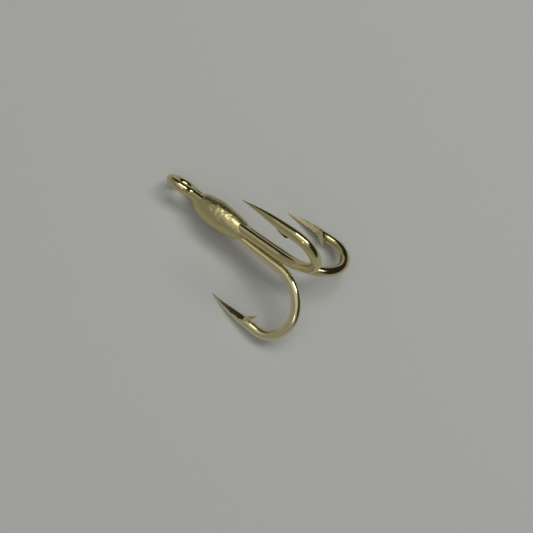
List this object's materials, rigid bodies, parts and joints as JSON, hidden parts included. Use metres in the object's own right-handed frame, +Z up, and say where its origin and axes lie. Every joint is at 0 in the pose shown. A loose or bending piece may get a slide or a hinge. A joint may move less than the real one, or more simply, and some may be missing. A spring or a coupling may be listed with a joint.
{
  "type": "treble hook",
  "caption": "Treble fishing hook: a bent-wire double hook with an eye and a brazed-on single hook, with barbed hollow-ground points and a spindle-shaped brazed shank joint.",
  "frame": {"origin": "centre of the bounding box on the surface that the hook lies on", "axes": "+Z up; +X along the hook's length on that surface, from the eye to the bends; the eye is at -X, the single hook is on the -Y side and the double hook's lower hook on the +Y side"},
  "size_m": [0.0234, 0.0158, 0.0143],
  "materials": {
    "gold_wire": "high-carbon steel wire, polished and gold-plated",
    "gold_braze": "braze metal, gold-plated, satin and slightly mottled"
  },
  "bodies": {
    "root": {"double_hook": "gold_wire", "single_hook": "gold_wire", "brazed_joint": "gold_braze"}
  },
  "joints": []
}
